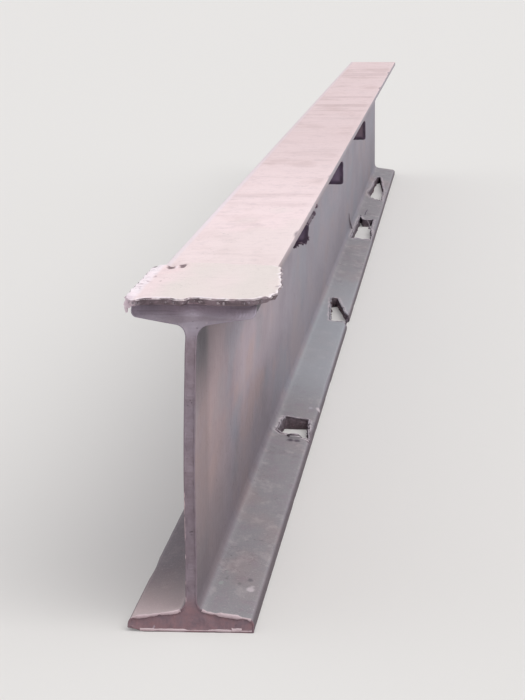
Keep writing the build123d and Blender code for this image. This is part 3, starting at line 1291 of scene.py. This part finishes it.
def edge_line(name, chains):
    """Rows of points in millimetres, as bare edges for a growing tree to follow."""
    points, edges = [], []
    for chain in chains:
        first = len(points)
        points += [[value * mm for value in point] for point in chain]
        edges += [(first + i, first + i + 1) for i in range(len(chain) - 1)]
    mesh = bpy.data.meshes.new(name)
    mesh.from_pydata(points, edges, [])
    return mesh


def melted_bead(name, chains, material, slot, **sizes):
    """A bead of metal along rows of points. Lengths are in millimetres."""
    values = {"Thickness": 1.0, "Spacing": 3.0, "Wander": 0.6, "Lump Size": 12.0, "Ripple Pitch": 4.0}
    lengths = list(values)
    values.update({label.replace("_", " ").title(): value for label, value in sizes.items()})
    for label in lengths:
        values[label] *= mm
    values["Material"] = material
    mesh = grown(name, bead_sheet, edge_line(name, chains), values)
    smooth(mesh, bead_crease_angle)
    add_piece(name, mesh, material, slot)


rim_rust = rusty_steel(
    "pale_rim_rust",
    plain=(188, 168, 174), dark=(160, 134, 142), fresh=(206, 182, 184), cool=(186, 176, 186),
    dust=(240, 226, 232), foot_dust=(210, 194, 198), rim=(246, 232, 232), cover=0.9,
)
foot_rim = rusty_steel(
    "grey_rim_rust",
    plain=(158, 147, 155), dark=(128, 116, 126), fresh=(176, 160, 163), cool=(156, 154, 166),
    dust=(200, 190, 198), foot_dust=(182, 174, 182), rim=(216, 206, 214), cover=0.85,
)
# dark slag skin with little pale top (cover 0.25): partly painted shade for the slag hanging under the
# flange's edge
slag_skin = rusty_steel(
    "dark_slag_skin",
    plain=(100, 84, 98), dark=(66, 52, 66), fresh=(122, 98, 100), cool=(86, 82, 94),
    dust=(150, 134, 140), foot_dust=(120, 108, 116), rim=(150, 134, 138), cover=0.25,
)


def on_cut(x, z, inset, forward):
    """A spot on the rounded edge of the near end's cut, kept off the floor."""
    x, z = drawn_in(x, z, inset)
    x, y, z = torch_cut(x, near_end + forward, z)
    return x, max(y, near_end + 1.9), max(z, 2.1)


# Along the near end the beads stand on the foot's two upper edges, under it and up the web
burr = {"lump_size": 13.0, "unevenness": 0.6, "wander": 0.8, "spacing": 2.0}
flange_burrs = []
for first, last in ((-71, -55), (-57, -13), (13, 71)):
    reach = [first + (last - first) * step / 12 for step in range(13)]
    flange_burrs.append([on_cut(x, foot_upper_face(abs(x)), 0.9, 0.9) for x in reach])
underside = [on_cut(-60 + 4.4 * step, 0.0, 1.2, 0.9) for step in range(31)]
web_edge = [on_cut(-web_face, 34 + 6 * step, 0.7, 0.7) for step in range(24)]
chunk = [on_cut(48 + 3 * step, 0.0, 3.1, 1.4) for step in range(5)]
melted_bead("foot_burr", flange_burrs, rim_rust, "rolled_steel", thickness=1.9, seed=1.0, **burr)
melted_bead("underside_burr", [underside], rim_rust, "rolled_steel", thickness=1.1, seed=8.0, **burr)
melted_bead(
    "corner_chunk", [chunk], rim_rust, "rolled_steel",
    thickness=2.2, spacing=1.5, wander=0.3, lump_size=6.0, unevenness=0.25, seed=14.0,
)
melted_bead("web_burr", [web_edge], rim_rust, "rolled_steel", thickness=0.5, seed=9.0, **burr)

rim_chains = []
for burn in burns:
    chain = []
    for x, y in burn + burn[:1]:
        if seam_x + 1.0 < x < half_width - 1.2:
            chain.append((x, near_end + y, foot_upper_face(x) - 0.2))
        elif chain:
            rim_chains.append(chain)
            chain = []
    rim_chains.append(chain)
rim_chains = [chain for chain in rim_chains if len(chain) > 2]
melted_bead(
    "burn_rims", rim_chains, foot_rim, "rolled_steel",
    thickness=1.3, spacing=3.0, wander=1.3, lump_size=19.0, unevenness=0.95, seed=2.0,
)

# Tongues of metal left at the first and third burnt-out places, and a drip at the plate's corner
tongues = [
    [(14, 4085, 23), (10, 4060, 38), (8.5, 4020, 58), (8.5, 3992, 76)],
    [(56, 4160, 17), (55.5, 4158, 31), (49, 4156, 44)],
    [(34, 4452, 24), (36, 4450, 33), (41, 4447, 40)],
    [(38, 1136, 20), (43, 1124, 23.5), (50, 1118, 25), (57, 1124, 23), (60, 1134, 18)],
]
tongues = [[(x, near_end + y, z) for x, y, z in tongue] for tongue in tongues]
melted_bead(
    "curled_tongues", tongues, foot_rim, "rolled_steel",
    thickness=2.6, spacing=4.0, wander=1.5, lump_size=20.0, unevenness=0.35, taper=0.7, seed=3.0,
)
corner_lump = [(-71, 62, 383.6), (-75, 54, 383.2), (-75.8, 47, 382.8), (-74.5, 42, 382.0)]
corner_drip = [(-77.0, 46, 382), (-77.2, 44.5, 377.5), (-76.6, 45, 371.5)]
molten = {"spacing": 1.5, "wander": 0.5, "lump_size": 6.0, "unevenness": 0.3, "seed": 4.0}
for name, run, thickness, taper in (
    ("corner_lump", corner_lump, 5.0, 0.1),
    ("corner_drip", corner_drip, 2.4, 0.55),
):
    run = [(x, near_end + y, z) for x, y, z in run]
    melted_bead(name, [run], plate_rust, "plate_steel", thickness=thickness, taper=taper, **molten)

# Slag hanging under the flange's edge beyond the torn cleat
hanging = [(y, 364.6 + 0.8 * math.sin(y * 0.11)) for y in range(1072, 1184, 5)]
slag_strips = [
    [(half_width - 1.8, near_end + y, z) for y, z in hanging],
    [(half_width - 1.6, near_end + y, 365.0) for y in range(1222, 1246, 4)],
    [(half_width - 1.2, near_end + y, 369.5) for y in range(1288, 1316, 4)],
]
melted_bead(
    "edge_slag", slag_strips, slag_skin, "cleat_steel",
    thickness=2.3, spacing=3.0, wander=1.6, lump_size=15.0, unevenness=0.8, seed=5.0,
)


def slag_drops(name, chains, material, slot, **sizes):
    """Drops of slag strewn along rows of points. Lengths are in millimetres."""
    values = {label.title(): value * mm for label, value in sizes.items() if label != "seed"}
    values.update({"Seed": sizes["seed"], "Material": material})
    mesh = grown(name, drop_sheet, edge_line(name, chains), values)
    add_piece(name, mesh, material, slot)


drop_chains = []
for burn in burns:
    turned = list(zip(burn, edge_normals(burn)))
    for height in (6.0, 10.0):
        row = [(x - nx * 0.4, near_end + y - ny * 0.4, height) for (x, y), (nx, ny) in turned]
        drop_chains.append([spot for spot in row if seam_x + 2 < spot[0] < half_width - 2.5])
slag_drops(
    "burn_slag", drop_chains, slag_skin, "rolled_steel",
    spacing=7.0, smallest=0.7, largest=2.3, scatter=1.4, seed=11.0,
)
lip = [
    (x - nx * 2.5, y - ny * 2.5, plate_top - 5.5)
    for (x, y), (nx, ny) in zip(plate_edge, edge_normals(plate_edge))
    if y < near_end + 66
]
slag_drops(
    "lip_slag", [lip], foot_rim, "plate_steel",
    spacing=2.6, smallest=0.6, largest=1.9, scatter=1.1, seed=12.0,
)
torn_lumps = [
    (web_face + share * outstand, near_end + first_cleat + 2, cleat_foot + up)
    for share, up in torn_edge[3:]
]
slag_drops(
    "torn_edge_slag", [torn_lumps], slag_skin, "cleat_steel",
    spacing=3.4, smallest=1.3, largest=3.4, scatter=1.3, seed=15.0,
)

# Weld beads: each stub and the plate were fixed by hand with stick electrodes, so the
# beads are rippled, and they run where a plate's face meets the beam.

web_weld = (cleat_foot + 6, top_flange_underside(web_face) - cleat_cope - 3)
flange_weld = (cope_x + 3, half_width - toe_radius - 1)
cleat_welds = []
for number in range(cleat_count):
    for off in (-0.6, cleat_thickness + 0.6):
        y = near_end + first_cleat + number * cleat_pitch + off
        cleat_welds.append([(web_face + 0.8, y, z) for z in web_weld])
        cleat_welds.append([(x, y, top_flange_underside(x) - 0.8) for x in flange_weld])
melted_bead(
    "cleat_welds", cleat_welds, cleat_rust_and_shade, "cleat_steel",
    thickness=3.0, spacing=1.6, wander=0.5, lump_size=9.0, unevenness=0.18,
    ripple=0.1, ripple_pitch=4.2, seed=6.0,
)
plate_welds = []
for side in (-1, 1):
    x = side * (half_width + 0.4)
    for stretch in ((84, 150), (190, 250), (292, 352)):
        plate_welds.append([(x, near_end + y, section_height - 1.8) for y in stretch])
melted_bead(
    "plate_welds", plate_welds, plate_rust, "plate_steel",
    thickness=2.4, spacing=1.8, wander=0.5, lump_size=9.0, unevenness=0.2,
    ripple=0.1, ripple_pitch=4.4, seed=7.0,
)
